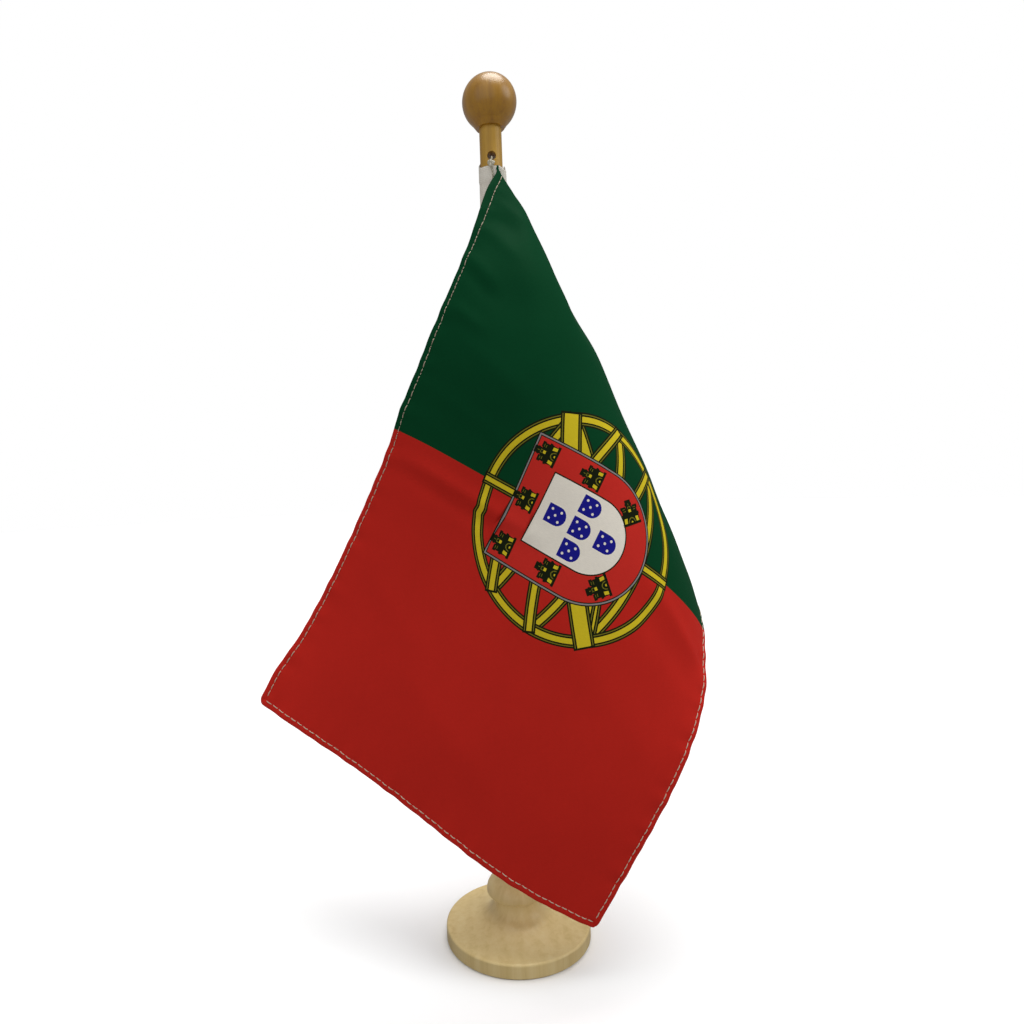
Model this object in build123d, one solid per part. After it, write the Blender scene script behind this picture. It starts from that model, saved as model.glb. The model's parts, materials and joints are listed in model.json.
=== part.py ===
from build123d import *
import math
import os

# A small table flag on a turned wooden stand. Millimetres, +Z up, the origin at the centre of the
# base's flat underside, and -Y towards the side from which the flag is seen.

# ---- driving dimensions -------------------------------------------------------------------------
base_diameter = 56.0
rim_height = 5.7
pole_diameter = 8.2
ball_diameter = 20.0
ball_centre_height = 315.9
flag_width = 150.0  # along the hoist
flag_length = 220.0  # from the hoist to the fly

# base
base_radius = base_diameter / 2
foot_chamfer = 0.5
rim_round = 0.9
shoulder_radius = 17.0
shoulder_height = 7.6
neck_radius = 8.6
neck_height = 15.6
bead_radius = 11.7
bead_edge_height = 18.1
bead_edge_round = 1.1
bead_dome = 8.2
socket_floor = 6.0

# pole and finial
pole_radius = pole_diameter / 2
running_gap = 0.05
ball_radius = ball_diameter / 2
ball_seat = 9.4  # depth of the pole's blind hole in the ball
ball_collar_radius = 5.2
hole_diameter = 3.2
hole_height = 295.5
end_chamfer = 0.4

# header sleeve
sleeve_gap = 0.2
sleeve_ply = 0.4
sleeve_top = 292.0
sleeve_inner = pole_radius + sleeve_gap
sleeve_outer = sleeve_inner + sleeve_ply
flap_reach = 5.2  # how far the sewn flap stands out to the right of the pole's axis
flap_thickness = 0.7
seam_reach = 4.0

# cloth
cloth_thickness = 0.5
sleeve_bottom = sleeve_top - flag_width
hem_inset = 2.1
stitch_pitch = 2.8
stitch_length = 2.1
stitch_width = 0.4
stitch_height = 0.25
stitch_clearance = 0.05

# tie cord
tie_diameter = 0.8
tie_drop = 0.7  # the cord lies this far below the middle of the cross hole
tie_end_height = 286.5
knot_radius = 1.1
knot_height = 293.2

# Where the hanging cloth's outer face runs. Each row is a line across the flag, at its distance from
# the hoist, and holds a point at each of the places from the top hem to the bottom hem.
across_places = (0, 12, 37.5, 75, 112.5, 150)
drape = {
    0: [(2.2, -5.2, 291.5), (2.2, -5.2, 279.5), (2.2, -5.2, 254), (2.2, -5.2, 216.5), (2.2, -5.2, 179),
        (2.2, -5.2, 141.5)],
    8: [(-0.8, -10, 285), (9.1, -8, 276.8), (10, -7, 252.5), (10, -6, 216), (10, -6, 179),
        (10, -6, 141.5)],
    34: [(-9.5, -18, 261.5), (1.2, -21.5, 256.8), (21.3, -21.5, 243.6), (34, -8, 214), (34, 5, 179),
        (32, 10, 142)],
    68: [(-24.5, -20, 229), (-14.6, -25.5, 223.5), (7, -32, 212), (38, -29, 192), (57, -9, 168),
        (62, 14, 140)],
    102: [(-37.7, -15, 199), (-28, -20.3, 193.6), (-7, -28, 181), (23, -37, 163), (53, -29, 142),
        (72.4, -8, 120)],
    144: [(-55.5, -8, 162.5), (-46.5, -13.5, 156.3), (-26, -22.5, 142.5), (3, -36, 124.5),
        (34, -39, 106), (62.3, -29, 86)],
    186: [(-75.5, -5, 127), (-66.5, -9.5, 120.6), (-47.5, -18, 107), (-19, -31, 89), (12, -39, 70),
        (42.6, -34, 51)],
    220: [(-95.4, -5, 97.4), (-85.3, -8.2, 91), (-64, -14, 78), (-34, -25, 59), (-4.8, -34, 39.3),
        (25.4, -32, 20.3)],
}
points_along = 45
points_across = 25


# ---- the cloth's surface ------------------------------------------------------------------------
def natural_spline(knots, values, at):
    """The natural cubic spline through values at knots, read at one place."""
    count = len(knots)
    gaps = [knots[i + 1] - knots[i] for i in range(count - 1)]
    slopes = [(values[i + 1] - values[i]) / gaps[i] for i in range(count - 1)]
    upper, right = [0.0] * count, [0.0] * count
    for i in range(1, count - 1):
        pivot = 2 * (gaps[i - 1] + gaps[i]) - gaps[i - 1] * upper[i - 1]
        upper[i] = gaps[i] / pivot
        right[i] = (6 * (slopes[i] - slopes[i - 1]) - gaps[i - 1] * right[i - 1]) / pivot
    bends = [0.0] * count
    for i in range(count - 2, 0, -1):
        bends[i] = right[i] - upper[i] * bends[i + 1]
    i = max(k for k in range(count - 1) if knots[k] <= at or k == 0)
    near, far = at - knots[i], knots[i + 1] - at
    cubic = (bends[i] * far**3 + bends[i + 1] * near**3) / (6 * gaps[i])
    start = (values[i] / gaps[i] - bends[i] * gaps[i] / 6) * far
    end = (values[i + 1] / gaps[i] - bends[i + 1] * gaps[i] / 6) * near
    return cubic + start + end


def cloth_point(along, across):
    """The place in space of a point of the flag, given its distances from the hoist and the top."""
    stations = list(drape)
    place = []
    for axis in range(3):
        row = [natural_spline(across_places, [p[axis] for p in drape[s]], across) for s in stations]
        place.append(natural_spline(stations, row, along))
    return Vector(*place)


def cloth_frame(along, across):
    """The point, the two directions in the cloth, and the normal out of the fold."""
    step = 0.5
    point = cloth_point(along, across)
    one = (cloth_point(min(along + step, flag_length), across) - point) if along < flag_length - step \
        else (point - cloth_point(along - step, across))
    two = (cloth_point(along, across + step) - point) if across < flag_width - step \
        else (point - cloth_point(along, across - step))
    return point, one.normalized(), two.normalized(), one.cross(two).normalized()


# ---- pieces -------------------------------------------------------------------------------------
def make_base():
    """A disc with an ogee that rises to a necked bead, bored for the pole."""
    dome_rise = math.sqrt(1 - ((pole_radius + running_gap) / bead_radius) ** 2)
    mouth_height = bead_edge_height + bead_dome * dome_rise
    mouth = (pole_radius + running_gap, mouth_height)
    with BuildPart() as base:
        with BuildSketch(Plane.XZ):
            with BuildLine():
                Polyline(mouth, (mouth[0], socket_floor), (0, socket_floor), (0, 0))
                Polyline((0, 0), (base_radius - foot_chamfer, 0), (base_radius, foot_chamfer),
                         (base_radius, rim_height - rim_round))
                TangentArc((base_radius, rim_height - rim_round), (base_radius - rim_round, rim_height),
                           tangent=(0, 1))
                Spline((base_radius - rim_round, rim_height), (shoulder_radius, shoulder_height),
                       (neck_radius, neck_height), tangents=[(-1, 0.05), (-0.05, 1)])
                Line((neck_radius, neck_height), (neck_radius, bead_edge_height - bead_edge_round))
                Line((neck_radius, bead_edge_height - bead_edge_round),
                     (bead_radius - bead_edge_round, bead_edge_height - bead_edge_round))
                TangentArc((bead_radius - bead_edge_round, bead_edge_height - bead_edge_round),
                           (bead_radius, bead_edge_height), tangent=(1, 0))
                Spline((bead_radius, bead_edge_height),
                       (bead_radius * 0.8, bead_edge_height + bead_dome * 0.6), mouth,
                       tangents=[(0, 1), (-1, -0.35)])
            make_face()
        revolve(axis=Axis.Z)
    return base.part


def make_pole():
    """The dowel, with a cross hole below the finial for the flag's tie cord."""
    top = ball_centre_height - ball_radius + ball_seat
    with BuildPart() as pole:
        with Locations((0, 0, socket_floor)):
            Cylinder(pole_radius, top - socket_floor, align=(Align.CENTER, Align.CENTER, Align.MIN))
        chamfer(pole.edges().filter_by(GeomType.CIRCLE), end_chamfer)
        with Locations(Location((0, 0, hole_height), (90, 0, 0))):
            Hole(hole_diameter / 2, depth=pole_diameter)
    return pole.part


def make_finial():
    """The ball, drawn in to a short cone where it meets the pole, with a blind hole for it."""
    ball_foot = ball_centre_height - ball_radius + 0.6
    with BuildPart() as finial:
        with Locations((0, 0, ball_centre_height)):
            Sphere(ball_radius)
        with Locations((0, 0, ball_foot)):
            Cone(ball_collar_radius, 7.6, 3.2, align=(Align.CENTER, Align.CENTER, Align.MIN))
        with Locations((0, 0, ball_foot)):
            Cylinder(ball_radius, 2, align=(Align.CENTER, Align.CENTER, Align.MAX), mode=Mode.SUBTRACT)
        with Locations((0, 0, ball_foot)):
            Cylinder(pole_radius, ball_seat - 0.6, align=(Align.CENTER, Align.CENTER, Align.MIN),
                     mode=Mode.SUBTRACT)
    return finial.part


def make_sleeve():
    """The canvas header: a tube round the pole and the flap that the flag's hoist is sewn on."""
    with BuildPart() as sleeve:
        with BuildSketch(Plane.XY.offset(sleeve_bottom)):
            Circle(sleeve_outer)
            with Locations((flap_reach / 2, -sleeve_outer + flap_thickness / 2)):
                Rectangle(flap_reach, flap_thickness)
            Circle(sleeve_inner, mode=Mode.SUBTRACT)
        extrude(amount=flag_width)
    return sleeve.part


def make_cloth():
    """The flag itself, hanging by its hoist and folded once over itself."""
    rows = []
    for i in range(points_along):
        along = flag_length * i / (points_along - 1)
        rows.append([cloth_point(along, flag_width * j / (points_across - 1)) for j in range(points_across)])
    surface = Face.make_surface_from_array_of_points(rows, tol=0.1, min_deg=3, max_deg=3)
    return Solid.thicken(surface, -cloth_thickness)


def stitch(along, across, turned):
    """One stitch on the cloth's outer side."""
    point, fly_way, down_way, outward = cloth_frame(along, across)
    run = down_way if turned else fly_way
    lift = stitch_clearance + stitch_height / 2
    place = Plane(origin=point + outward * lift, x_dir=run, z_dir=outward)
    return place * Box(stitch_length, stitch_width, stitch_height)


def make_hem_stitches():
    """The dashed lines of stitching that hold the top, fly and bottom hems."""
    stitches = []
    for i in range(int((flag_length - 14) / stitch_pitch)):
        along = 10 + stitch_pitch * (i + 0.5)
        if along < flag_length - hem_inset:
            stitches.append(stitch(along, hem_inset, False))
            stitches.append(stitch(along, flag_width - hem_inset, False))
    for i in range(int((flag_width - 2 * hem_inset) / stitch_pitch)):
        stitches.append(stitch(flag_length - hem_inset, hem_inset + stitch_pitch * (i + 0.5), True))
    return Compound(children=stitches)


def make_sleeve_stitches():
    """The line of stitching that joins the flag to the sleeve's flap, seen on the flap's back."""
    back = flap_thickness - sleeve_outer + stitch_clearance + stitch_height / 2
    count = int(flag_width / stitch_pitch)
    places = [(seam_reach, back, sleeve_bottom + stitch_pitch * (i + 0.5)) for i in range(count)]
    return Compound(children=[Pos(*p) * Box(stitch_width, stitch_height, stitch_length) for p in places])


def make_tie():
    """The cord through the cross hole, down over the sleeve's rim at the front and the back."""
    reach = sleeve_outer + tie_diameter / 2 + 0.1
    top = hole_height - tie_drop
    path = FilletPolyline((0, -reach, tie_end_height), (0, -reach, top), (0, reach, top),
                          (0, reach, tie_end_height), radius=1.2)
    with BuildPart() as tie:
        with BuildSketch(Plane((0, -reach, tie_end_height), z_dir=(0, 0, 1))):
            Circle(tie_diameter / 2)
        sweep(path=path)
        with Locations((0, -reach, knot_height)):
            Sphere(knot_radius)
    return tie.part


pieces = {
    "base": make_base,
    "pole": make_pole,
    "finial_ball": make_finial,
    "header_sleeve": make_sleeve,
    "flag_cloth": make_cloth,
    "hem_stitches": make_hem_stitches,
    "sleeve_stitches": make_sleeve_stitches,
    "tie_cord": make_tie,
}

os.makedirs("parts", exist_ok=True)
for name, make in pieces.items():
    export_step(make(), f"parts/{name}.step")
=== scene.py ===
import json
import math

import bpy
import numpy as np
from mathutils import Matrix, Vector
from mathutils.geometry import delaunay_2d_cdt


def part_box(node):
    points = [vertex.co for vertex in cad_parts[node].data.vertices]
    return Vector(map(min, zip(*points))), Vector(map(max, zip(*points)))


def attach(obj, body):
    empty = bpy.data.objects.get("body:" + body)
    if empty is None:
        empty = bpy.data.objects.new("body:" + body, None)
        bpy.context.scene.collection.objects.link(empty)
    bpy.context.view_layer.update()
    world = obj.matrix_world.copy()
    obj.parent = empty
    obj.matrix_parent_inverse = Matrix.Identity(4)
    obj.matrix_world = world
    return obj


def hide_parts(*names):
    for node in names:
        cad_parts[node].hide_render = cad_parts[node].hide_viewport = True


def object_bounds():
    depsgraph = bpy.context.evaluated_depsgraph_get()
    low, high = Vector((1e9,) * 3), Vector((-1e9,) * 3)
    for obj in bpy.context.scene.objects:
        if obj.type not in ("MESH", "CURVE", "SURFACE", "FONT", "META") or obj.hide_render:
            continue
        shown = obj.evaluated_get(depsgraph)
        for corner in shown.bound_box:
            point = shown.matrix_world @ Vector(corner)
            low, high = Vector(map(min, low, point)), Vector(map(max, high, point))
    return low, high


# A table flag on a turned wooden stand. The wooden parts are the CAD's own, with new materials. The flag,
# its hems, the canvas sleeve, the threads and the tie cord are made here, in metres, where the CAD has
# their plain solids.

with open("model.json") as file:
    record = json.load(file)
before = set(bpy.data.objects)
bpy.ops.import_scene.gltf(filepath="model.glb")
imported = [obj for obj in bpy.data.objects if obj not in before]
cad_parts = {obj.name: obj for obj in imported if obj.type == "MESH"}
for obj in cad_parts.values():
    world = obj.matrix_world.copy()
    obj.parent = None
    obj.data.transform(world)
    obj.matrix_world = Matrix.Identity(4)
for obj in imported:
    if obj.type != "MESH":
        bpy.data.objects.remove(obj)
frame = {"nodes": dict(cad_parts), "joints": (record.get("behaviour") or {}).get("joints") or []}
cad_low, cad_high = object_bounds()
nodes = frame["nodes"]
mm = 0.001

# ---- sizes --------------------------------------------------------------------------------------
flag_width = 150 * mm  # along the hoist
flag_length = 220 * mm  # from the hoist to the fly
cloth_thickness = 0.3 * mm
hem_thickness = 0.85 * mm  # the folded hem's three plies
hem_width = 3.6 * mm
hem_crown = 0.18 * mm  # how far the hem stands out on the outer side
corner_radius = 2.4 * mm
stitch_inset = 2.1 * mm
stitch_pitch = 2.8 * mm
stitch_length = 2.5 * mm
thread_radius = 0.16 * mm
print_unit = flag_width / 18  # the printed design is drawn on a grid of 18 units across the flag

pole_low, pole_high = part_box("pole")
sleeve_low, sleeve_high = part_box("header_sleeve")
tie_low, tie_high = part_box("tie_cord")
pole_radius = (pole_high.x - pole_low.x) / 2
canvas_thickness = 0.4 * mm
flap_reach = sleeve_high.x - 0.4 * mm
seam_reach = 4.0 * mm
hole_height = frame["joints"][1]["pos_m"][2]

# ---- how the flag hangs -------------------------------------------------------------------------
# The outer face of the folded cloth, as in the CAD: at each distance from the hoist, points at these
# distances from the top hem, all in millimetres.
across_places = (0, 12, 37.5, 75, 112.5, 150)
drape = {
    0: [(2.2, -5.2, 291.5), (2.2, -5.2, 279.5), (2.2, -5.2, 254), (2.2, -5.2, 216.5), (2.2, -5.2, 179),
        (2.2, -5.2, 141.5)],
    8: [(-0.8, -10, 285), (9.1, -8, 276.8), (10, -7, 252.5), (10, -6, 216), (10, -6, 179),
        (10, -6, 141.5)],
    34: [(-9.5, -18, 261.5), (1.2, -21.5, 256.8), (21.3, -21.5, 243.6), (34, -8, 214), (34, 5, 179),
        (32, 10, 142)],
    68: [(-24.5, -20, 229), (-14.6, -25.5, 223.5), (7, -32, 212), (38, -29, 192), (57, -9, 168),
        (62, 14, 140)],
    102: [(-37.7, -15, 199), (-28, -20.3, 193.6), (-7, -28, 181), (23, -37, 163), (53, -29, 142),
        (72.4, -8, 120)],
    144: [(-55.5, -8, 162.5), (-46.5, -13.5, 156.3), (-26, -22.5, 142.5), (3, -36, 124.5),
        (34, -39, 106), (62.3, -29, 86)],
    186: [(-75.5, -5, 127), (-66.5, -9.5, 120.6), (-47.5, -18, 107), (-19, -31, 89), (12, -39, 70),
        (42.6, -34, 51)],
    220: [(-95.4, -5, 97.4), (-85.3, -8.2, 91), (-64, -14, 78), (-34, -25, 59), (-4.8, -34, 39.3),
        (25.4, -32, 20.3)],
}
# Small sideways shifts that straighten the outline: where on the flat cloth, how far, half width.
pulls = [((4, 5.5), 1.9, 6), ((15, 18), -1.4, 8), ((25, 32), 1.0, 9), ((37.5, 51), -1.4, 9),
         ((73, 109), -1.1, 12), ((91, 139), 1.1, 12), ((114, 148), -0.9, 8), ((96, 0), -0.9, 10),
         ((206, 0), -1.3, 9)]
stations = np.array(list(drape)) * mm
across_knots = np.array(across_places) * mm
net = np.array(list(drape.values())) * mm


def spline_weights(knots, at):
    """One row of weights for each place: the natural cubic spline through values at the knots."""
    count = len(knots)
    gaps = np.diff(knots)
    system, right = np.eye(count), np.zeros((count, count))
    for i in range(1, count - 1):
        system[i, i - 1:i + 2] = gaps[i - 1], 2 * (gaps[i - 1] + gaps[i]), gaps[i]
        right[i, i - 1:i + 2] = 6 / gaps[i - 1], -6 / gaps[i - 1] - 6 / gaps[i], 6 / gaps[i]
    bends = np.linalg.solve(system, right)
    i = np.clip(np.searchsorted(knots, at, side="right") - 1, 0, count - 2)
    gap = gaps[i][:, None]
    near = (at - knots[i])[:, None]
    far = gap - near
    pick = np.eye(count)
    line = (far * pick[i] + near * pick[i + 1]) / gap
    curve = (far**3 / gap - gap * far) * bends[i] + (near**3 / gap - gap * near) * bends[i + 1]
    return line + curve / 6


def smooth_step(value, low, high):
    """A smooth rise from 0 at low to 1 at high."""
    share = np.clip((value - low) / (high - low), 0, 1)
    return share * share * (3 - 2 * share)


def ways_along(path):
    """The unit direction at each point of a path."""
    ways = np.gradient(path, axis=0)
    return ways / np.linalg.norm(ways, axis=1)[:, None]


def run_along(path):
    """The distance from a path's start to each of its points."""
    return np.concatenate([[0], np.cumsum(np.linalg.norm(np.diff(path, axis=0), axis=1))])


def hang(flat):
    """The places in space of flat points (distance from the hoist, distance from the top hem)."""
    flat = settled(flat)
    along = spline_weights(stations, np.clip(flat[:, 0], 0, flag_length))
    across = spline_weights(across_knots, np.clip(flat[:, 1], 0, flag_width))
    points = np.einsum("ni,nj,ijk->nk", along, across, net)
    for place, shift, half_width in pulls:
        distance = np.linalg.norm(flat - np.array(place) * mm, axis=1)
        near = np.exp(-(distance / (half_width * mm)) ** 2) * smooth_step(flat[:, 0], 0, 3 * mm)
        points[:, 0] += shift * mm * near
    return points


def settled(flat):
    """A packing fold across the cloth, beyond which it sits a little towards the top hem."""
    fold, slip = 113.5 * mm, 1.5 * mm
    beyond = smooth_step(flat[:, 0], fold - 0.8 * mm, fold + 2.6 * mm)
    faded = 1 - smooth_step(flat[:, 0], fold + 8 * mm, fold + 60 * mm)
    across = smooth_step(flat[:, 1], 14 * mm, 34 * mm) * (1 - smooth_step(flat[:, 1], 50 * mm, 74 * mm))
    return flat - np.column_stack([np.zeros(len(flat)), slip * beyond * faded * across])


def outward(flat):
    """The unit normals out of the fold at flat points."""
    step = 0.3 * mm
    inside = np.clip(flat, step, [flag_length - step, flag_width - step])
    fly_way = hang(inside + [step, 0]) - hang(inside - [step, 0])
    down_way = hang(inside + [0, step]) - hang(inside - [0, step])
    normal = np.cross(fly_way, down_way)
    return normal / np.linalg.norm(normal, axis=1)[:, None]


# ---- hems and creases ---------------------------------------------------------------------------
def edge_distance(flat):
    """How far a flat point is inside the hemmed edges: top, fly and bottom, with rounded corners."""
    from_fly = flat[:, 0] - (flag_length - corner_radius)
    from_middle = np.abs(flat[:, 1] - flag_width / 2) - (flag_width / 2 - corner_radius)
    outside = np.hypot(np.maximum(from_fly, 0), np.maximum(from_middle, 0))
    return corner_radius - outside - np.minimum(np.maximum(from_fly, from_middle), 0)


def along_edge(flat):
    """The distance along the nearest hemmed edge, which the stitches and puckers follow."""
    to_side = np.minimum(flat[:, 1], flag_width - flat[:, 1])
    return np.where(flag_length - flat[:, 0] < to_side, flat[:, 1], flat[:, 0])


def puckers(run):
    """An uneven wave, from -1 to 1, along the hem."""
    waves = [(9.3, 0.0, 0.45), (14.1, 1.9, 0.35), (6.1, 4.0, 0.2)]
    return sum(size * np.sin(2 * math.pi * run / (length * mm) + phase) for length, phase, size in waves)


# Soft creases in the hanging cloth: from and to (flat, in millimetres), height and half width.
creases = [
    ((6, 6), (64, 40), 0.8, 4.5),
    ((8, 14), (50, 66), -0.8, 5),
    ((5, 4), (84, 20), -0.6, 4),
    ((10, 18), (30, 58), 0.6, 4),
    ((16, 3), (22, 15), 0.5, 1.6),
    ((22, 3), (28, 16), -0.4, 1.6),
    ((28, 3), (35, 20), 0.6, 1.8),
    ((39, 3), (45, 18), 0.55, 1.8),
    ((44, 3), (50, 20), -0.4, 1.8),
    ((55, 3), (60, 20), 0.5, 1.9),
    ((47, 7), (48, 40), -1.1, 9),
    ((72, 7), (73, 46), 0.9, 10),
    ((64, 10), (74, 44), 0.3, 3),
    ((84, 6), (90, 46), 0.25, 3),
    ((111.5, 6), (112.5, 66), 0.75, 2.6),
    ((116.5, 6), (117.5, 66), -0.75, 2.8),
    ((105, 104), (121, 148), 0.7, 3.2),
    ((113, 100), (130, 146), -0.45, 4),
    ((150, 6), (176, 60), 0.3, 6),
    ((176, 40), (196, 96), 0.35, 6),
    ((128, 70), (160, 140), 0.3, 7),
]


def relief(flat):
    """How far creases and hem puckers lift the cloth out of its even curve."""
    lift = np.zeros(len(flat))
    for start, end, height, half_width in creases:
        start, end = np.array(start) * mm, np.array(end) * mm
        way = end - start
        share = (flat - start) @ way / (way @ way)
        near = start + np.clip(share, 0, 1)[:, None] * way
        distance = np.linalg.norm(flat - near, axis=1)
        fade = smooth_step(share, -0.15, 0.35) * (1 - smooth_step(share, 0.6, 1.15))
        lift += height * mm * fade * np.exp(-(distance / (half_width * mm)) ** 2)
    pucker_height, pucker_reach = 0.28 * mm, 7 * mm
    hem = np.exp(-(edge_distance(flat) / pucker_reach) ** 2)
    loose = smooth_step(flat[:, 0], 2 * mm, 14 * mm)  # the seam at the hoist holds the cloth flat
    return lift * loose + pucker_height * hem * loose * puckers(along_edge(flat))


def faces_of(flat):
    """How far the cloth's outer and inner faces stand out of the drape's surface."""
    inside, run = edge_distance(flat), along_edge(flat)
    hem = 1 - smooth_step(inside, hem_width - 0.5 * mm, hem_width + 0.3 * mm)
    outer = hem_crown * (1 - smooth_step(inside, stitch_inset - 0.7 * mm, stitch_inset + 0.5 * mm))
    inner = outer - cloth_thickness - (hem_thickness - cloth_thickness) * hem
    beat = 0.65 + 0.35 * np.cos(2 * math.pi * run / stitch_pitch)
    pinch_depth, pinch_reach, edge_radius = 0.16 * mm, 0.45 * mm, 0.45 * mm
    pinch = pinch_depth * beat * np.exp(-((inside - stitch_inset) / pinch_reach) ** 2)
    middle = (outer + inner) / 2
    roundness = np.clip(inside / edge_radius, 0, 1)
    swell = np.sqrt(np.maximum(1 - (1 - roundness) ** 2, 0))
    lift = relief(flat)
    return lift + middle + (outer - pinch - middle) * swell, lift + middle + (inner + pinch - middle) * swell


# ---- the printed design -------------------------------------------------------------------------
# All of it is drawn by formula on the unit grid: x from the hoist, y from the top hem.
emblem_centre = np.array([12.42, 9.1])
emblem_scale = 0.903
curve_step = 0.13  # units between the points of a curve
outline = 0.18  # width of a band's dark outline
hairline = 0.045  # width of the line within that outline
band_width = 0.6
ring_radius = 5.05
castle_scale, castle_shift = 0.94, -0.07  # from a castle's drawing to the print

inks = {  # as printed, in 8-bit display values
    "green": (7, 60, 33),
    "red": (181, 37, 29),
    "yellow": (202, 182, 38),
    "olive": (112, 108, 34),
    "dark": (24, 30, 16),
    "field red": (190, 44, 37),
    "grey": (134, 130, 130),
    "white": (226, 220, 208),
    "blue": (28, 28, 132),
}
shapes = []  # (ink, loops), the later ones printed over the earlier


def circle(x, y, radius):
    """Points round a circle."""
    count = max(8, int(2 * math.pi * radius / curve_step))
    return [(x + radius * math.cos(2 * math.pi * i / count), y + radius * math.sin(2 * math.pi * i / count))
            for i in range(count)]


def arc(x, y, radius_x, radius_y, start, end, tilt=0.0):
    """Points of part of a tilted ellipse, its angles in degrees."""
    count = max(4, int(abs(math.radians(end - start)) * max(radius_x, radius_y) / curve_step))
    angles = np.radians(np.linspace(start, end, count + 1))
    turn = math.radians(tilt)
    across, down = radius_x * np.cos(angles), radius_y * np.sin(angles)
    return np.stack([x + across * math.cos(turn) - down * math.sin(turn),
                     y + across * math.sin(turn) + down * math.cos(turn)], 1)


def stroke(path, width, longer=0.0):
    """The outline of an open line drawn with that width, its ends that much longer."""
    path = np.array(path, float)
    ways = ways_along(path)
    path[0] -= ways[0] * longer
    path[-1] += ways[-1] * longer
    side = np.stack([-ways[:, 1], ways[:, 0]], 1) * width / 2
    return np.concatenate([path + side, (path - side)[::-1]])


def add(ink, *loops):
    """Prints the area within the loops, drawn about the emblem's centre, in one ink."""
    shapes.append((ink, [np.array(loop, float) * emblem_scale + emblem_centre for loop in loops]))


def band(path, width=band_width, longer=0.0):
    """A yellow hoop with dark outlines, and a hairline in each outline."""
    middle = outline - hairline
    add("dark", stroke(path, width, longer))
    add("olive", stroke(path, width - middle, longer - outline / 2))
    add("dark", stroke(path, width - middle - 2 * hairline, longer - outline / 2))
    add("yellow", stroke(path, width - 2 * outline, longer - outline / 2))


def ring(radius, width):
    """A closed hoop seen from the front, in the same style."""
    middle = outline - hairline
    for ink, wide in (("dark", width), ("olive", width - middle), ("dark", width - middle - 2 * hairline),
                      ("yellow", width - 2 * outline)):
        add(ink, circle(0, 0, radius + wide / 2), circle(0, 0, radius - wide / 2))


def shield(half_width, top, straight_to):
    """A flat-topped shield with a round foot."""
    return [(-half_width, top), (half_width, top), (half_width, straight_to),
            *arc(0, straight_to, half_width, half_width, 0, 180)[1:-1], (-half_width, straight_to)]


def placed(loop, x, y, tilt=0.0):
    """A loop drawn about its own centre, moved to its place."""
    turn = math.radians(tilt)
    return [(x + a * math.cos(turn) - b * math.sin(turn), y + a * math.sin(turn) + b * math.cos(turn))
            for a, b in loop]


def box_loop(x0, y0, x1, y1):
    """The corners of an upright box."""
    return [(x0, y0), (x1, y0), (x1, y1), (x0, y1)]


def castle(x, y, tilt):
    """A small gate tower: dark walls, hairline joints, lit windows and an arched door."""
    walls = [(-0.53, 0.27, 0.53, 0.41), (-0.46, 0.02, 0.46, 0.3), (-0.52, -0.15, 0.52, -0.02),
             (-0.48, -0.06, 0.48, 0.06), (-0.44, -0.44, 0.44, -0.1), (-0.49, -0.5, -0.2, -0.34),
             (0.2, -0.5, 0.49, -0.34), (-0.17, -0.78, 0.17, -0.4), (-0.2, -0.62, 0.2, -0.52)]
    joints = [(-0.36, -0.3, -0.22, -0.27), (0.22, -0.3, 0.36, -0.27), (-0.38, -0.4, -0.24, -0.375),
              (0.24, -0.4, 0.38, -0.375), (-0.09, -0.47, 0.08, -0.44), (-0.09, -0.44, -0.06, -0.36),
              (0.05, -0.44, 0.08, -0.36), (-0.02, -0.62, 0.01, -0.52)]
    lit = [[(-0.43, 0.28), (-0.4, 0.05), (-0.24, 0.05), (-0.27, 0.28)],
           [(0.27, 0.28), (0.24, 0.05), (0.4, 0.05), (0.43, 0.28)], box_loop(-0.08, -0.33, 0.07, -0.2)]
    door = [("dark", 0.235), ("olive", 0.2), ("dark", 0.165), ("yellow", 0.06)]
    door_foot, door_rise = 0.29, 1.25
    gates = [(ink, [[(half, door_foot), *arc(0, door_foot, half, half * door_rise, 0, -180)[1:-1],
                     (-half, door_foot)]]) for ink, half in door]
    for ink, loops in (("dark", [box_loop(*wall) for wall in walls]), ("yellow", lit),
                       ("olive", [box_loop(*joint) for joint in joints]), *gates):
        for loop in loops:
            drawn = [(a * castle_scale, (b + castle_shift) * castle_scale) for a, b in loop]
            add(ink, placed(drawn, x, y, tilt))


def small_shield(x, y):
    """A blue shield with five round marks."""
    half, straight_to = 0.42, 0.14
    add("blue", placed(shield(half, -half, straight_to), x, y))
    for a, b in ((0, 0.03), (-0.22, -0.2), (0.22, -0.2), (-0.22, 0.26), (0.22, 0.26)):
        add("white", circle(x + a, y + b, 0.062))


def hoop(y, reach, depth, tilt=0.0):
    """One half of a hoop seen nearly edge on: a shallow arch between two points of the ring."""
    shares = np.linspace(-1, 1, int(2 * reach / curve_step) + 1)
    return placed([(share * reach, y + depth * (1 - share * share)) for share in shares], 0, 0, tilt)


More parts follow.
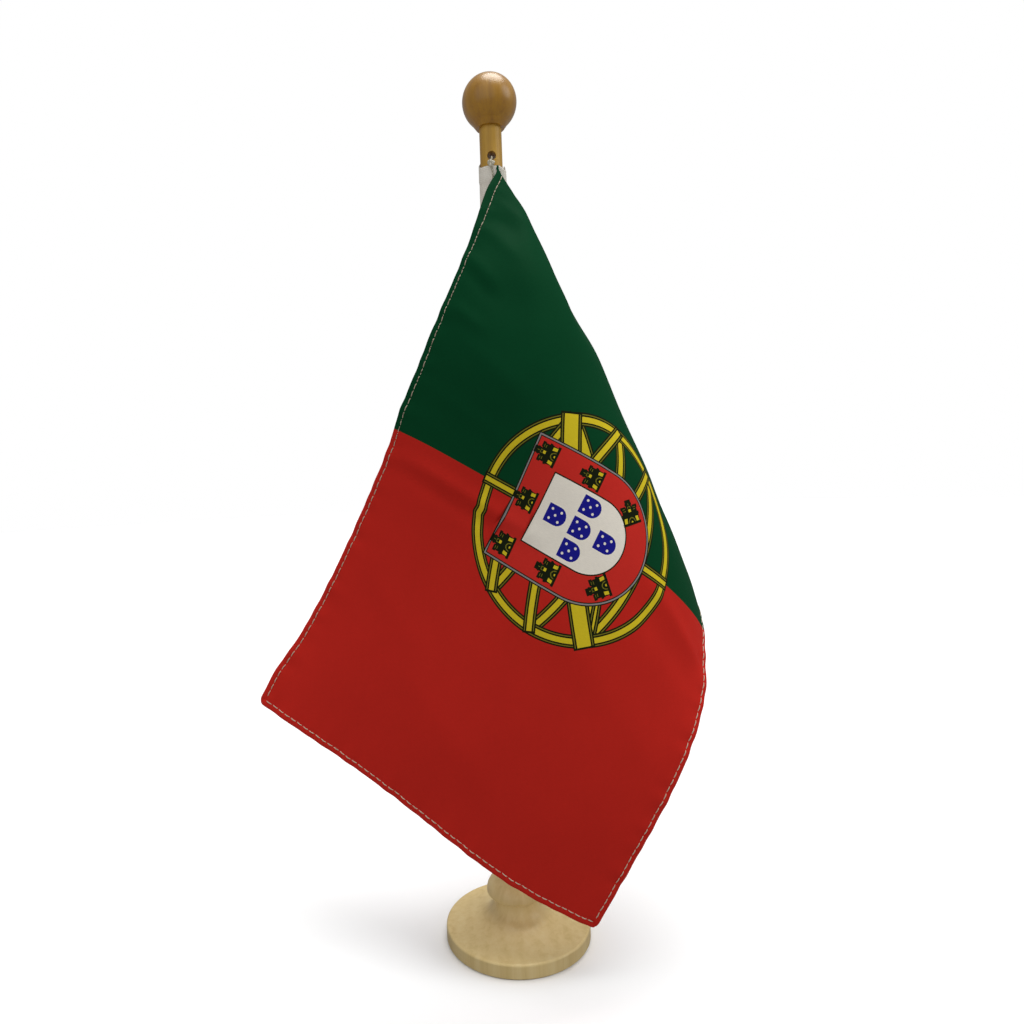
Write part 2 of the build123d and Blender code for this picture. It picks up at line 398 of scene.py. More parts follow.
def draw_emblem():
    """A globe of hoops, nearer halves over the ring and further ones under it, and the shield on it."""
    hoops = [(2.4, 4.28, 0.85), (-2.35, 4.28, 0.75), (0, 4.95, 1.1)]
    wide_tilt, wide_width, wide_depth = 30.2, 0.98, 0.36
    for y, reach, depth in hoops:
        band(hoop(y, reach - 0.2, depth))
    band(hoop(0, ring_radius - 0.45, wide_depth + 0.34, wide_tilt), wide_width)
    ring(ring_radius - band_width / 2, band_width)
    for y, reach, depth in hoops:
        band(hoop(y, reach, -depth), longer=0.02)
    band(hoop(0, ring_radius, -wide_depth, wide_tilt), wide_width, longer=0.02)
    for side in (-1, 1):
        band([(0, side * 3.2), (0, side * 4.2), (0, side * (ring_radius + 0.03))], 0.56)
    for ink, half_width in (("dark", 3.02), ("grey", 2.97), ("dark", 2.905), ("field red", 2.86)):
        add(ink, shield(half_width, -0.45 - half_width, 0.5))
    for ink, half_width in (("dark", 1.7), ("white", 1.64)):
        add(ink, shield(half_width, -0.42 - half_width, 0.6))
    for x, y in ((0, 0), (0, -1.26), (0, 1.31), (-1.04, 0), (1.04, 0)):
        small_shield(x, y)
    for x, y, tilt in ((-2.25, -2.6, 0), (0, -2.64, 0), (2.2, -2.6, 0), (-2.24, -0.3, 0),
                       (2.24, -0.27, 0), (-1.62, 1.98, -45), (1.65, 2.05, 47)):
        castle(x, y, tilt)


def inside_loops(points, loops):
    """Even-odd test of points against the loops."""
    odd = np.zeros(len(points), bool)
    for loop in loops:
        ends = np.roll(loop, -1, axis=0)
        for (x0, y0), (x1, y1) in zip(loop, ends):
            if y0 == y1:
                continue
            crosses = (y0 > points[:, 1]) != (y1 > points[:, 1])
            odd ^= crosses & (points[:, 0] < x0 + (points[:, 1] - y0) * (x1 - x0) / (y1 - y0))
    return odd


def ink_numbers(points):
    """The ink at each point of the unit grid, as an index into the inks."""
    names = list(inks)
    found = np.where(points[:, 0] < emblem_centre[0], names.index("green"), names.index("red"))
    for ink, loops in shapes:
        low = np.min([loop.min(0) for loop in loops], 0)
        high = np.max([loop.max(0) for loop in loops], 0)
        near = np.flatnonzero(((points >= low) & (points <= high)).all(1))
        found[near[inside_loops(points[near], loops)]] = names.index(ink)
    return found


# ---- meshes and materials -----------------------------------------------------------------------
def new_piece(name, vertices, faces, body, material):
    """A smooth-shaded mesh that rides on its body."""
    mesh = bpy.data.meshes.new(name)
    mesh.from_pydata([tuple(v) for v in vertices], [], faces)
    mesh.validate()
    mesh.polygons.foreach_set("use_smooth", [True] * len(mesh.polygons))
    mesh.materials.append(material)
    piece = bpy.data.objects.new(name, mesh)
    bpy.context.scene.collection.objects.link(piece)
    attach(piece, body)
    return piece


def linear(colour):
    """An 8-bit display colour as linear red, green, blue and alpha."""
    share = np.array(colour) / 255
    straight = np.where(share <= 0.04045, share / 12.92, ((share + 0.055) / 1.055) ** 2.4)
    return (*straight.tolist(), 1.0)


class Nodes:
    """A material's node tree, built with short calls."""

    def __init__(self, name, **sockets):
        self.material = bpy.data.materials.new(name)
        self.material.use_nodes = True
        self.tree = self.material.node_tree
        self.shader = self.tree.nodes["Principled BSDF"]
        for socket, value in sockets.items():
            self.shader.inputs[socket.replace("_", " ")].default_value = value

    def add(self, kind, inputs=None, **settings):
        node = self.tree.nodes.new("ShaderNode" + kind)
        for key, value in settings.items():
            setattr(node, key, value)
        for key, value in (inputs or {}).items():
            if isinstance(value, bpy.types.NodeSocket):
                self.tree.links.new(value, node.inputs[key])
            else:
                node.inputs[key].default_value = value
        return node

    def math(self, operation, first, second):
        return self.add("Math", {0: first, 1: second}, operation=operation).outputs[0]

    def plus(self, tone, value, share):
        """The tone, and that share of another value."""
        return self.add("Math", {0: value, 1: share, 2: tone}, operation="MULTIPLY_ADD").outputs[0]

    def ramp(self, factor, *stops):
        node = self.add("ValToRGB", {"Fac": factor})
        points = node.color_ramp.elements
        while len(points) < len(stops):
            points.new(0.5)
        for point, (position, colour) in zip(points, stops):
            point.position, point.color = position, colour
        return node.outputs["Color"]

    def mix(self, factor, first, second, blend="MIX"):
        node = self.add("Mix", data_type="RGBA", blend_type=blend)
        for socket, value in ((node.inputs[0], factor), (node.inputs[6], first), (node.inputs[7], second)):
            if isinstance(value, bpy.types.NodeSocket):
                self.tree.links.new(value, socket)
            else:
                socket.default_value = value
        return node.outputs[2]

    def mapped(self, vector, scale, turn=0.0):
        return self.add("Mapping", {"Vector": vector, "Scale": scale, "Rotation": (0, 0, turn)}).outputs[0]

    def noise(self, vector, scale, detail=3.0, roughness=0.5, distortion=0.0):
        node = self.add("TexNoise", {"Vector": vector, "Scale": scale, "Detail": detail,
                                     "Roughness": roughness, "Distortion": distortion})
        return node.outputs[0]

    def colour(self, socket):
        self.tree.links.new(socket, self.shader.inputs["Base Color"])

    def roughness(self, factor, low, high):
        node = self.add("MapRange", {"Value": factor, "To Min": low, "To Max": high})
        self.tree.links.new(node.outputs[0], self.shader.inputs["Roughness"])

    def bump(self, height, distance, strength=1.0):
        node = self.add("Bump", {"Height": height, "Distance": distance, "Strength": strength})
        self.tree.links.new(node.outputs[0], self.shader.inputs["Normal"])


def fabric_material():
    """Printed satin-weave polyester: the print, a fine slanted weave and nearly no shine."""
    n = Nodes("flag_fabric", Specular_IOR_Level=0.02)
    print_colour = n.add("Attribute", attribute_name="print").outputs["Color"]
    flat = n.add("Attribute", attribute_name="flat").outputs["Vector"]
    weave = n.add("TexWave", {"Vector": n.mapped(flat, (1, 1, 1), 0.6), "Scale": 900.0, "Distortion": 1.5,
                              "Detail": 1.0, "Detail Scale": 2.0}, wave_type="BANDS").outputs["Fac"]
    threads = n.noise(n.mapped(flat, (1, 0.12, 1)), 5200.0, 2.0)
    cloud = n.noise(flat, 38.0, 4.0, 0.6)
    tone = n.math("MULTIPLY", weave, 0.1)
    tone = n.plus(n.plus(tone, cloud, 0.16), threads, 0.2)
    shade = n.ramp(tone, (0.08, (0.94, 0.94, 0.94, 1)), (0.38, (1.3, 1.3, 1.3, 1)))
    n.colour(n.mix(1.0, print_colour, shade, "MULTIPLY"))
    n.roughness(cloud, 0.5, 0.66)
    n.bump(n.math("ADD", weave, threads), 0.00003, 0.6)
    return n.material


def canvas_material():
    """Undyed cotton canvas in a plain weave, a little uneven in tone."""
    n = Nodes("canvas", Sheen_Weight=0.15, Sheen_Roughness=0.6, Specular_IOR_Level=0.2)
    place = n.add("Attribute", attribute_name="flat").outputs["Vector"]
    warp = n.add("TexWave", {"Vector": place, "Scale": 520.0, "Distortion": 1.2, "Detail": 1.0},
                 wave_type="BANDS", bands_direction="X").outputs["Fac"]
    weft = n.add("TexWave", {"Vector": place, "Scale": 480.0, "Distortion": 1.2, "Detail": 1.0},
                 wave_type="BANDS", bands_direction="Y").outputs["Fac"]
    weave = n.math("MULTIPLY", warp, weft)
    cloud = n.noise(place, 120.0, 5.0, 0.6)
    tone = n.math("ADD", n.math("MULTIPLY", weave, 0.35), cloud)
    n.colour(n.ramp(tone, (0.3, linear((226, 219, 204))), (0.9, linear((252, 248, 238)))))
    n.roughness(cloud, 0.75, 0.92)
    n.bump(weave, 0.00012, 0.7)
    return n.material


def thread_material(name, light, dark, lays):
    """Twisted thread or cord: slanted lays along its length."""
    n = Nodes(name, Sheen_Weight=0.2, Sheen_Roughness=0.5, Specular_IOR_Level=0.25)
    place = n.add("Attribute", attribute_name="flat").outputs["Vector"]
    lay = n.add("TexWave", {"Vector": n.mapped(place, (1, 1, 1), 0.7), "Scale": lays, "Distortion": 0.6},
                wave_type="BANDS").outputs["Fac"]
    fuzz = n.noise(place, lays * 3, 4.0, 0.7)
    tone = n.math("MULTIPLY", n.math("ADD", lay, fuzz), 0.5)
    n.colour(n.ramp(tone, (0.25, linear(dark)), (0.75, linear(light))))
    n.roughness(fuzz, 0.65, 0.85)
    n.bump(tone, 0.00005, 0.8)
    return n.material


def wood_material(name, tones, grain, rings, gloss, roughness, specks):
    """Turned wood with its grain upright: fibres, pores, wide bands of tone, and a clear coat.

    The tones are ramp positions with 8-bit colours, grain and rings the fibres' and bands' fineness,
    roughness its least and most, and specks how far the pores darken the wood.
    """
    n = Nodes(name, Coat_Weight=gloss, Coat_Roughness=0.3, Coat_IOR=1.5, Specular_IOR_Level=0.45,
              Specular_Tint=(1.0, 0.84, 0.45, 1.0))
    place = n.add("TexCoord").outputs["Object"]
    fibres = n.noise(n.mapped(place, (1, 1, 0.035)), grain, 6.0, 0.62, 0.4)
    pores = n.noise(n.mapped(place, (1, 1, 0.05)), grain * 5, 3.0, 0.5)
    swirl = n.noise(n.mapped(place, (1, 1, 0.16)), rings, 3.0, 0.5, 1.2)
    bands = n.add("TexWave", {"Vector": n.mapped(place, (1, 0.55, 0.05)), "Scale": rings * 1.6,
                              "Distortion": 5.0, "Detail": 3.0, "Detail Scale": 1.5},
                  wave_type="BANDS").outputs["Fac"]
    tone = n.math("MULTIPLY", fibres, 0.55)
    tone = n.plus(n.plus(tone, swirl, 0.25), bands, 0.08)
    wood = n.ramp(tone, *[(position, linear(colour)) for position, colour in tones])
    dots = n.ramp(pores, (0.28, (0.72, 0.68, 0.62, 1)), (0.4, (1, 1, 1, 1)))
    n.colour(n.mix(specks, wood, dots, "MULTIPLY"))
    n.roughness(fibres, *roughness)
    n.bump(n.math("ADD", fibres, pores), 0.00004, 0.5)
    return n.material


# ---- the flag -----------------------------------------------------------------------------------
def inset_line(inset, spacing):
    """A line of flat points at one distance inside the hemmed edges, from hoist to hoist."""
    radius = max(corner_radius - inset, 0)
    far, low = flag_length - inset, flag_width - inset
    corners = [(far - radius, inset + radius, -90, 0), (far - radius, low - radius, 0, 90)]
    points = [(0.0, inset)]
    for x, y, start, end in corners:
        steps = max(1, int(radius * math.pi / 2 / spacing) + (3 if radius else 0))
        turn = [0.0]
        if radius:
            turn = [math.radians(start + (end - start) * i / steps) for i in range(steps + 1)]
        rounded = [(x + radius * math.cos(a), y + radius * math.sin(a)) for a in turn]
        points += between(points[-1], rounded[0], spacing) + rounded
    return points + between(points[-1], (0.0, low), spacing) + [(0.0, low)]


def between(start, end, spacing):
    """Evenly spaced points strictly between two points."""
    count = max(1, round(math.dist(start, end) / spacing))
    return [tuple(np.array(start) + (np.array(end) - np.array(start)) * i / count) for i in range(1, count)]


def flat_mesh():
    """Triangles of the flat flag that follow its edge, its hem lines and the outlines of the print."""
    points, edges = [], []
    coarse, fine = 1.2 * mm, 0.7 * mm  # spacing of the points along a line
    hem_inner = 4.6 * mm
    grid_spacing, clearance = 1.5 * mm, 0.5 * mm

    def line(loop, closed):
        first = len(points)
        points.extend([tuple(p) for p in loop])
        edges.extend((i, i + 1) for i in range(first, len(points) - 1))
        if closed:
            edges.append((len(points) - 1, first))

    for inset, spacing in ((0, coarse), (0.07, coarse), (0.22, coarse), (0.5, coarse), (1.1, coarse),
                           (1.65, fine), (2.1, fine), (2.55, fine), (3.2, coarse), (3.8, coarse)):
        line(inset_line(inset * mm, spacing), False)
    for _, loops in shapes:
        for loop in loops:
            line(loop * print_unit, True)
    for x in (emblem_centre[0] * print_unit, 0.0):  # where the two fields meet, and the hoist
        line([(x, 0.0)] + between((x, 0.0), (x, flag_width), coarse) + [(x, flag_width)], False)
    starts = np.array([points[a] for a, b in edges])
    ends = np.array([points[b] for a, b in edges])
    columns = np.arange(grid_spacing / 2, flag_length - hem_inner, grid_spacing)
    rows = np.arange(hem_inner, flag_width - hem_inner, grid_spacing)
    grid = np.array([(x, y + (grid_spacing / 2 if i % 2 else 0))
                     for i, x in enumerate(columns) for y in rows])
    clear = np.ones(len(grid), bool)
    for start, end in zip(starts, ends):
        low, high = np.minimum(start, end) - clearance, np.maximum(start, end) + clearance
        near = np.flatnonzero(clear & ((grid > low) & (grid < high)).all(1))
        if len(near):
            way = end - start
            share = np.clip((grid[near] - start) @ way / max(way @ way, 1e-18), 0, 1)
            distance = np.linalg.norm(grid[near] - start - share[:, None] * way, axis=1)
            clear[near[distance < clearance]] = False
    points += [tuple(p) for p in grid[clear]]
    scale, least_area = 1000.0, 1e-13  # the triangulation works best on numbers near one
    made = delaunay_2d_cdt([Vector(p) * scale for p in points], edges, [], 0, 1e-4)
    flat = np.array([tuple(v) for v in made[0]]) / scale
    triangles = np.array([f for f in made[2] if len(f) == 3])
    a, b, c = (flat[triangles[:, i]] for i in range(3))
    area = np.cross(b - a, c - a)
    triangles = np.where((area < 0)[:, None], triangles[:, ::-1], triangles)
    return flat, triangles[np.abs(area) > least_area]


def make_flag():
    """The printed flag: two faces that meet at the hems and are joined by a strip at the hoist."""
    touching = 1e-7
    draw_emblem()
    flat, triangles = flat_mesh()
    flat = np.clip(flat, 0, [flag_length, flag_width])
    outer, inner = faces_of(flat)
    surface, normal = hang(flat), outward(flat)
    count = len(flat)
    vertices = np.concatenate([surface + normal * outer[:, None], surface + normal * inner[:, None]])
    shared = edge_distance(flat) < touching
    behind = np.where(shared, np.arange(count), np.arange(count) + count)
    sides = np.concatenate([triangles[:, [0, 1]], triangles[:, [1, 2]], triangles[:, [2, 0]]])
    edges, uses = np.unique(np.sort(sides, axis=1), axis=0, return_counts=True)
    hoist = [e for e in edges[uses == 1] if (flat[e, 0] < touching).all()]
    faces = triangles.tolist() + behind[triangles[:, ::-1]].tolist()
    for a, b in hoist:
        low, high = (a, b) if flat[a, 1] < flat[b, 1] else (b, a)
        loop = list(dict.fromkeys([int(low), int(high), int(behind[high]), int(behind[low])]))
        if len(loop) > 2:
            faces.append(loop)
    used = np.unique(np.concatenate([np.array(f) for f in faces]))
    renumber = np.full(2 * count, -1)
    renumber[used] = np.arange(len(used))
    faces = [renumber[f].tolist() for f in faces]
    piece = new_piece("flag_cloth_printed", vertices[used], faces, "flag", fabric_material())
    mesh = piece.data
    centres = flat[triangles].mean(1) / print_unit
    numbers = ink_numbers(centres)
    palette = np.array([linear(colour) for colour in inks.values()])
    rim = np.full(len(mesh.polygons) - 2 * len(triangles), list(inks).index("green"))
    each_face = palette[np.concatenate([numbers, numbers, rim])]
    sizes = np.zeros(len(mesh.polygons), int)
    mesh.polygons.foreach_get("loop_total", sizes)
    colours = mesh.color_attributes.new("print", "FLOAT_COLOR", "CORNER")
    colours.data.foreach_set("color", np.repeat(each_face, sizes, axis=0).astype(np.float32).ravel())
    keep_flat(mesh, np.concatenate([flat, flat])[used])
    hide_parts("flag_cloth")
    return piece


def keep_flat(mesh, flat):
    """Stores each point's place on the flat cloth, which the weave follows."""
    place = mesh.attributes.new("flat", "FLOAT_VECTOR", "POINT")
    three = np.zeros((len(flat), 3), np.float32)
    three[:, :2] = flat
    place.data.foreach_set("vector", three.ravel())


# ---- threads ------------------------------------------------------------------------------------
stitch_shares = np.linspace(-0.5, 0.5, 7)  # points along one stitch
stitch_arch = np.cos(math.pi * stitch_shares) * 1.9 - 0.9  # its height, in thread radii
stitch_radii = thread_radius * np.array([0.75, 1, 1.05, 1.05, 1.05, 1, 0.75])


def tubes(paths, radii, sides=7):
    """Round tubes along many paths at once: vertices, faces and flat coordinates.

    The paths are (tube, point, xyz), and the radii one for each point.
    """
    paths = np.array(paths, float)
    ways = np.gradient(paths, axis=1)
    ways /= np.linalg.norm(ways, axis=2)[..., None]
    guide = np.where(np.abs(ways[..., 2:3]) > 0.9, [1.0, 0.0, 0.0], [0.0, 0.0, 1.0])
    first = np.cross(ways, guide)
    first /= np.linalg.norm(first, axis=2)[..., None]
    second = np.cross(ways, first)
    angles = 2 * math.pi * np.arange(sides) / sides
    around = first[:, :, None] * np.cos(angles)[:, None] + second[:, :, None] * np.sin(angles)[:, None]
    rings = paths[:, :, None] + around * np.array(radii)[None, :, None, None]
    many, long = paths.shape[:2]
    gaps = np.linalg.norm(np.diff(paths, axis=1), axis=2)
    lengths = np.concatenate([np.zeros((many, 1)), np.cumsum(gaps, 1)], 1)
    flat = np.stack(np.broadcast_arrays(lengths[:, :, None], angles * radii[len(radii) // 2]), -1)
    faces = []
    for t in range(many):
        base = t * long * sides
        for i in range(long - 1):
            for k in range(sides):
                a, b = base + i * sides + k, base + i * sides + (k + 1) % sides
                faces.append((a, a + sides, b + sides, b))
        faces.append(tuple(base + k for k in range(sides)))
        faces.append(tuple(base + (long - 1) * sides + k for k in range(sides))[::-1])
    return rings.reshape(-1, 3), faces, flat.reshape(-1, 2)


def stitch_paths(middles, ways, side):
    """The visible run of each stitch, arched on one face of the cloth (side 1 outer, -1 inner)."""
    flat = middles[:, None] + ways[:, None] * (stitch_shares * stitch_length)[:, None]
    points = flat.reshape(-1, 2)
    outer, inner = faces_of(points)
    height = (outer if side > 0 else inner) + side * np.tile(stitch_arch, len(middles)) * thread_radius
    return (hang(points) + outward(points) * height[:, None]).reshape(len(middles), -1, 3)


def make_hem_thread():
    """The lockstitch that holds the hems, which shows as dashes on both faces."""
    middles, ways = [], []
    first, far = 5 * mm, flag_length - stitch_inset
    unevenness = 0.03
    for i in range(int(far / stitch_pitch)):
        along = first + stitch_pitch * i
        if along + stitch_length / 2 < far:
            for across in (stitch_inset, flag_width - stitch_inset):
                middles.append((along, across))
                ways.append((1, unevenness * math.sin(i * 2.1)))
    for i in range(int((flag_width - 2 * stitch_inset) / stitch_pitch)):
        middles.append((far, stitch_inset + stitch_pitch * (i + 0.6)))
        ways.append((unevenness * math.sin(i * 1.7), 1))
    middles, ways = np.array(middles), np.array(ways, float)
    paths = np.concatenate([stitch_paths(middles, ways, 1), stitch_paths(middles, ways, -1)])
    vertices, faces, flat = tubes(paths, stitch_radii)
    thread = thread_material("thread", (214, 200, 180), (172, 154, 130), 1500.0)
    piece = new_piece("hem_thread", vertices, faces, "flag", thread)
    keep_flat(piece.data, flat)
    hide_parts("hem_stitches")
    return piece, thread


# ---- the canvas sleeve --------------------------------------------------------------------------
def sleeve_section(spacing):
    """The middle line of the canvas strip: from the flap's end round the pole and back to the flap."""
    middle = pole_radius + 0.2 * mm + canvas_thickness / 2
    front = -middle - 0.06 * mm
    rear = front + canvas_thickness * 1.05
    corners = [(flap_reach, front), (2.6 * mm, front)]
    line = [corners[0]] + between(corners[0], corners[1], spacing) + [corners[1]]
    first_angle, last_angle = -98, -348
    count = int(middle * math.radians(286) / spacing)
    line += [(middle * math.cos(a), middle * math.sin(a))
             for a in np.radians(np.linspace(first_angle, last_angle, count))]
    line += [(middle, -1.6 * mm), (middle * 0.99, -2.9 * mm), (middle * 1.02, rear + 0.4 * mm)]
    line += between(line[-1], (flap_reach, rear), spacing / 2) + [(flap_reach, rear)]
    return np.array(line)


def make_sleeve(thread):
    """The header: a strip of canvas round the pole, its two ends sewn together as a flap."""
    line = sleeve_section(0.8 * mm)
    ways, run = ways_along(line), run_along(line)
    out = np.stack([-ways[:, 1], ways[:, 0]], 1)
    out *= np.sign((out * line).sum(1))[len(line) // 2]
    low, high = sleeve_low.z, sleeve_high.z
    heights = np.concatenate([np.linspace(low, high - 9 * mm, 90), np.linspace(high - 8.6 * mm, high, 20)])
    round_pole = smooth_step(run, 3 * mm, 8 * mm) * (1 - smooth_step(run, run[-1] - 8 * mm, run[-1] - 3 * mm))
    # the top edge is drawn up to the cord behind the pole and hangs at the flap's loose corners
    rise = 3.8 * mm * smooth_step(run, 9 * mm, 16 * mm) * (1 - smooth_step(run, 21 * mm, 26 * mm))
    drop = 1.8 * mm * (1 - smooth_step(run, 0, 2.4 * mm) + smooth_step(run, run[-1] - 1.4 * mm, run[-1]))
    rounding = 0.3 * mm  # of the strip's cut ends
    turns = run / (4.3 * mm)
    rings = {1: [], -1: []}
    for z in heights:
        wrinkle = np.sin(turns + z / (11 * mm)) * 0.5 + np.sin(2.3 * turns - z / (6.5 * mm)) * 0.3
        wrinkle += 0.35 * math.sin(z / (17 * mm))
        top = smooth_step(z, high - 7 * mm, high)
        bulge = (0.09 + 0.07 * top) * mm * wrinkle * round_pole + 0.05 * mm * top * round_pole
        folded = 0.16 * mm * smooth_step(z, high - 6.2 * mm, high - 5.6 * mm)
        edge = math.sqrt(max(0.0, 1 - max(0.0, (z - (high - rounding)) / rounding) ** 2))
        foot = math.sqrt(max(0.0, 1 - max(0.0, (low + rounding - z) / rounding) ** 2))
        drawn = smooth_step(z, high - 15 * mm, high)
        sag = drawn * (rise - drop) - 0.25 * mm * top * (0.5 + 0.5 * np.sin(run / (3.1 * mm) + 0.6))
        half = canvas_thickness / 2 * min(edge, foot)
        for side in (1, -1):
            offset = bulge + side * (half + (folded * edge if side > 0 else 0))
            rings[side].append(np.column_stack([line + out * offset[:, None], z + sag]))
    outer, inner = np.array(rings[1]), np.array(rings[-1])
    rows, wide = outer.shape[:2]
    vertices = np.concatenate([outer.reshape(-1, 3), inner.reshape(-1, 3)])
    faces = []
    for i in range(rows - 1):
        for k in range(wide - 1):
            a = i * wide + k
            faces.append((a, a + 1, a + wide + 1, a + wide))
            b = a + rows * wide
            faces.append((b, b + wide, b + wide + 1, b + 1))
    back = rows * wide
    for k in range(wide - 1):
        faces.append((k, k + back, k + back + 1, k + 1))
        top = (rows - 1) * wide + k
        faces.append((top, top + 1, top + back + 1, top + back))
    for i in range(rows - 1):
        for k in (0, wide - 1):
            a = i * wide + k
            quad = (a, a + wide, a + wide + back, a + back)
            faces.append(quad if k == 0 else quad[::-1])
    piece = new_piece("canvas_sleeve", vertices, faces, "flag", canvas_material())
    shared = np.column_stack([np.tile(run, rows), np.repeat(heights, wide)])
    keep_flat(piece.data, np.concatenate([shared, shared]))
    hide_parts("header_sleeve")
    make_seam_thread(line[-1][1] + canvas_thickness / 2, thread)
    return piece, (run[-1], high - low)


def make_seam_thread(back, thread):
    """The seam through flag and flap: dashes on the flap's back and on the flag's inner face."""
    count = int(flag_width / stitch_pitch)
    arch = stitch_arch * thread_radius
    front = net[0, 0, 1] - cloth_thickness
    flag_turns_away = sleeve_high.z - 30 * mm  # above it the flag leaves the flap, and hides the seam
    paths = []
    for i in range(count):
        z = sleeve_low.z + stitch_pitch * (i + 0.5)
        for face, way in ((back, 1), (front, -1)):
            if way > 0 or z < flag_turns_away:
                paths.append([(seam_reach, face + way * height, z + share * stitch_length)
                              for height, share in zip(arch, stitch_shares)])
    vertices, faces, flat = tubes(paths, stitch_radii)
    piece = new_piece("seam_thread", vertices, faces, "flag", thread)
    keep_flat(piece.data, flat)
    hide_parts("sleeve_stitches")


# ---- the tie cord -------------------------------------------------------------------------------
def smooth_path(points, count):
    """A smooth line through given points, evenly read."""
    points = np.array(points, float)
    knots = run_along(points)
    return spline_weights(knots, np.linspace(0, knots[-1], count)) @ points


def twisted(path, cord_radius, lay):
    """Two strands laid round each other along a path."""
    ways = ways_along(path)
    side = np.cross(ways, [1.0, 0.0, 0.0])
    side /= np.linalg.norm(side, axis=1)[:, None]
    other = np.cross(ways, side)
    turn = 2 * math.pi * run_along(path) / lay
    strand = (side * np.cos(turn)[:, None] + other * np.sin(turn)[:, None]) * cord_radius / 2
    return [path + strand, path - strand]


def make_tie():
    """A thin cotton cord: through the pole's cross hole, down behind, and knotted at the front."""
    reach = tie_high.y - 0.4 * mm
    low = tie_low.z
    top = hole_height - 0.5 * mm
    route = [(0.3 * mm, reach, low), (0.1 * mm, reach + 0.1 * mm, low + 3.5 * mm), (0, reach, top - 1.6 * mm),
             (0, reach - 0.9 * mm, top - 0.25 * mm), (0, reach - 2.4 * mm, top), (0, 0, top),
             (0, 2.4 * mm - reach, top - 0.1 * mm), (0, 0.7 * mm - reach, top - 0.4 * mm),
             (-0.2 * mm, -reach, top - 1.6 * mm), (-0.3 * mm, -reach - 0.05 * mm, top - 3.4 * mm),
             (0.1 * mm, -reach, low + 2.5 * mm), (0.2 * mm, -reach, low)]
    points, sides = 220, 8
    cord_radius, lay, strand_radius = 0.36 * mm, 1.7 * mm, 0.2 * mm
    strands = twisted(smooth_path(route, points), cord_radius, lay)
    knot_radius, knot_thickness = 0.9 * mm, 2.6  # the thickness in strands
    turns = np.linspace(0, 2 * math.pi, 150)
    across = (np.sin(turns) + 2 * np.sin(2 * turns)) * knot_radius * 0.36
    up = (np.cos(turns) - 2 * np.cos(2 * turns)) * knot_radius * 0.36
    depth = -np.sin(3 * turns) * knot_radius * 0.5
    centre = np.array([-0.3 * mm, -reach - 0.15 * mm, top - 2.8 * mm])
    knot = smooth_path(centre + np.column_stack([across, depth, up]), points)
    vertices, faces, flat = tubes([*strands, knot], np.full(points, strand_radius), sides)
    knot_start = len(vertices) * 2 // 3
    centres = np.repeat(knot, sides, axis=0)
    vertices[knot_start:] = centres + (vertices[knot_start:] - centres) * knot_thickness
    cord = thread_material("cord_cotton", (238, 233, 214), (176, 168, 144), 900.0)
    piece = new_piece("tie_cord_twisted", vertices, faces, "flag", cord)
    keep_flat(piece.data, flat)
    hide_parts("tie_cord")


# ---- wood ---------------------------------------------------------------------------------------
def finish_wood():
    """Pale unstained base, golden pole and a darker, lacquered ball."""
    base = wood_material("base_wood", [(0.2, (202, 174, 112)), (0.45, (222, 197, 140)),
                                       (0.65, (229, 208, 155)), (0.85, (236, 218, 170))],
                         grain=420.0, rings=30.0, gloss=0.5, roughness=(0.42, 0.6), specks=0.25)
    pole = wood_material("pole_wood", [(0.2, (160, 116, 40)), (0.45, (196, 152, 64)),
                                       (0.65, (210, 168, 78)), (0.85, (220, 182, 96))],
                         grain=620.0, rings=60.0, gloss=0.2, roughness=(0.36, 0.5), specks=0.5)
    ball = wood_material("ball_wood", [(0.2, (134, 84, 4)), (0.45, (168, 117, 8)),
                                       (0.65, (186, 135, 14)), (0.85, (202, 155, 26))],
                         grain=480.0, rings=44.0, gloss=1.0, roughness=(0.4, 0.5), specks=0.3)
    for name, slot, material in (("base", "base_wood", base), ("pole", "pole_wood", pole),
                                 ("finial_ball", "ball_wood", ball)):
        nodes[name].data.materials.clear()
        nodes[name].data.materials.append(material)


# ---- stage, light and camera --------------------------------------------------------------------
def wide_light(name, way, angle, strength):
    """An even, far light from one way, as wide as a large soft box; its angle is in degrees."""
    lamp = bpy.data.lights.new(name, "SUN")
    lamp.angle, lamp.energy = math.radians(angle), strength
    light = bpy.data.objects.new(name, lamp)
    light.rotation_mode = "QUATERNION"
    light.rotation_quaternion = Vector(way).to_track_quat("Z", "Y")
    bpy.context.scene.collection.objects.link(light)


def floor_material():
    """A white floor that throws back little light, so the stand's undersides stay dark."""
    thrown_back, looked_at = (0.28, 0.27, 0.26, 1), (0.97, 0.97, 0.97, 1)
    n = Nodes("floor", Roughness=0.9, Specular_IOR_Level=0.1)
    seen = n.add("LightPath").outputs["Is Camera Ray"]
    n.colour(n.mix(seen, thrown_back, looked_at))
    return n.material


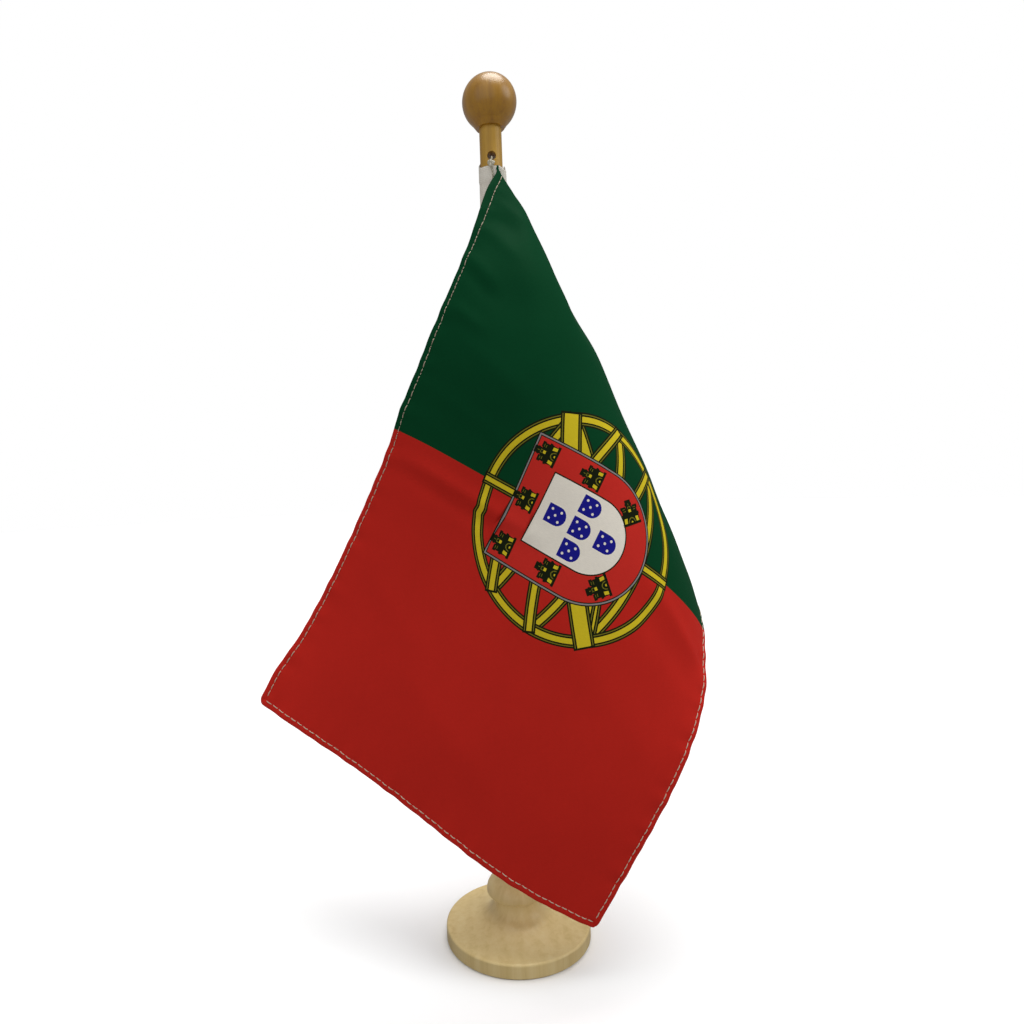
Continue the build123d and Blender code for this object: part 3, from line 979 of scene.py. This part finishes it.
def make_stage():
    """A wide pale floor and a white backdrop, lit mostly from above, and softly from right and front."""
    ambient, backdrop = 0.3, 1.0
    floor_radius, floor_steps = 3.0, 96
    rim = [(floor_radius * math.cos(2 * math.pi * i / floor_steps),
            floor_radius * math.sin(2 * math.pi * i / floor_steps), cad_low.z) for i in range(floor_steps)]
    mesh = bpy.data.meshes.new("floor")
    mesh.from_pydata(rim, [], [tuple(range(floor_steps))])
    floor = bpy.data.objects.new("floor", mesh)
    bpy.context.scene.collection.objects.link(floor)
    mesh.materials.append(floor_material())
    wide_light("key", (0.16, -0.02, 1.0), angle=46, strength=2.6)
    wide_light("side", (1.0, -0.25, 0.5), angle=36, strength=0.62)
    wide_light("fill", (-0.35, -1.0, 0.3), angle=80, strength=0.72)
    world = bpy.data.worlds.new("studio")
    world.use_nodes = True
    tree = world.node_tree
    seen = tree.nodes.new("ShaderNodeLightPath").outputs["Is Camera Ray"]
    strength = tree.nodes.new("ShaderNodeMapRange")
    strength.inputs["To Min"].default_value, strength.inputs["To Max"].default_value = ambient, backdrop
    tree.links.new(seen, strength.inputs["Value"])
    tree.links.new(strength.outputs[0], tree.nodes["Background"].inputs["Strength"])
    tree.nodes["Background"].inputs["Color"].default_value = (1, 1, 1, 1)
    bpy.context.scene.world = world
    bpy.context.scene.view_settings.view_transform = "Standard"


def make_camera():
    """The photo's viewing angle: level with the flag's upper half, slightly down, with a slight roll."""
    look_down, roll = math.radians(3.5), math.radians(2.18)
    forward = Vector((0, math.cos(look_down), -math.sin(look_down)))
    up = Vector((0, math.sin(look_down), math.cos(look_down)))
    right = Vector((1, 0, 0))
    rolled_right = right * math.cos(roll) - up * math.sin(roll)
    rolled_up = right * math.sin(roll) + up * math.cos(roll)
    data = bpy.data.cameras.new("camera")
    data.lens, data.sensor_width, data.shift_x = 26.6, 36, 0.0405
    data.clip_start, data.clip_end = 0.01, 20
    camera = bpy.data.objects.new("camera", data)
    camera.matrix_world = Matrix.Translation((-12.58 * mm, -286.23 * mm, 183.33 * mm)) @ Matrix(
        (rolled_right, rolled_up, -forward)).transposed().to_4x4()
    bpy.context.scene.collection.objects.link(camera)
    bpy.context.scene.camera = camera


make_camera()
finish_wood()
flag = make_flag()
hem_thread, thread_stuff = make_hem_thread()
sleeve, sleeve_flat = make_sleeve(thread_stuff)
make_tie()
make_stage()
